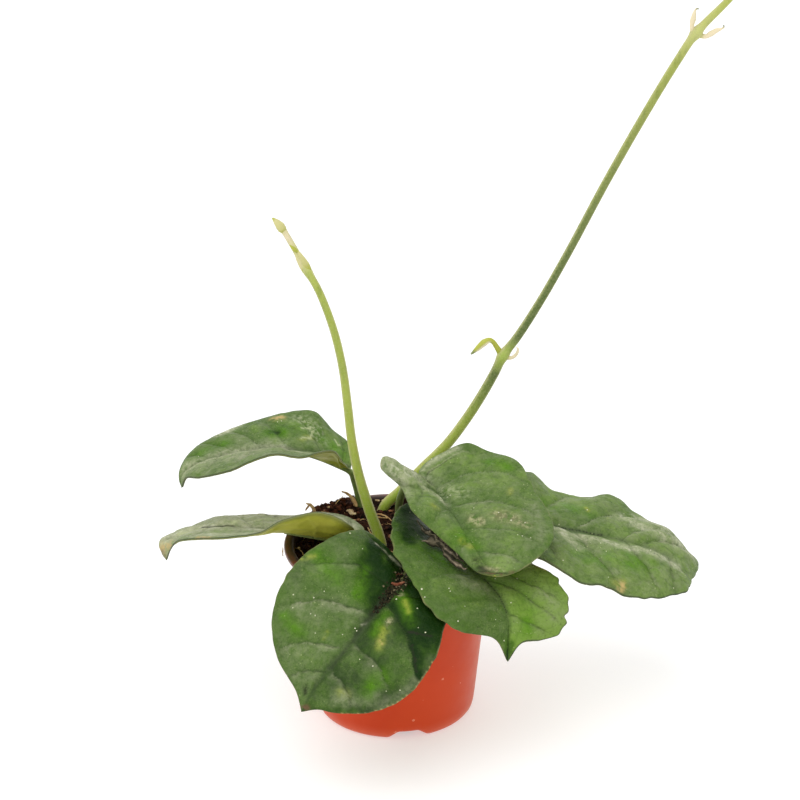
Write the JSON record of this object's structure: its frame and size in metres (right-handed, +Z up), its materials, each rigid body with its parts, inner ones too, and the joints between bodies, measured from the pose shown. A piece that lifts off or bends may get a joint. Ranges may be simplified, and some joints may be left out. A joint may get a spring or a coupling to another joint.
{
  "type": "potted plant",
  "caption": "Young climbing house plant with broad waxy oval leaves and long bare shoots, rooted in peat in a round tapered nursery pot with a collared rim.",
  "frame": {"origin": "centre of the pot's foot, on the surface it stands on", "axes": "+Z up along the pot's axis; -Y is the front, which faces the viewer; +X is the side that the tall shoot leans to"},
  "size_m": [0.2381, 0.1374, 0.334],
  "materials": {
    "pot": "thin thermoformed orange terracotta plastic, satin outside",
    "soil": "coarse dark peat with fibres and chips",
    "shoot": "green living stem with fine hairs",
    "leaf": "thick waxy dark green leaf with pale specks, yellow-green below"
  },
  "bodies": {
    "root": {"pot": "pot", "soil": "soil", "vine_tall": "shoot", "vine_short": "shoot", "leaf_back_left": "leaf", "leaf_left": "leaf", "leaf_front": "leaf", "leaf_top": "leaf", "leaf_front_right": "leaf", "leaf_right": "leaf"}
  },
  "joints": []
}
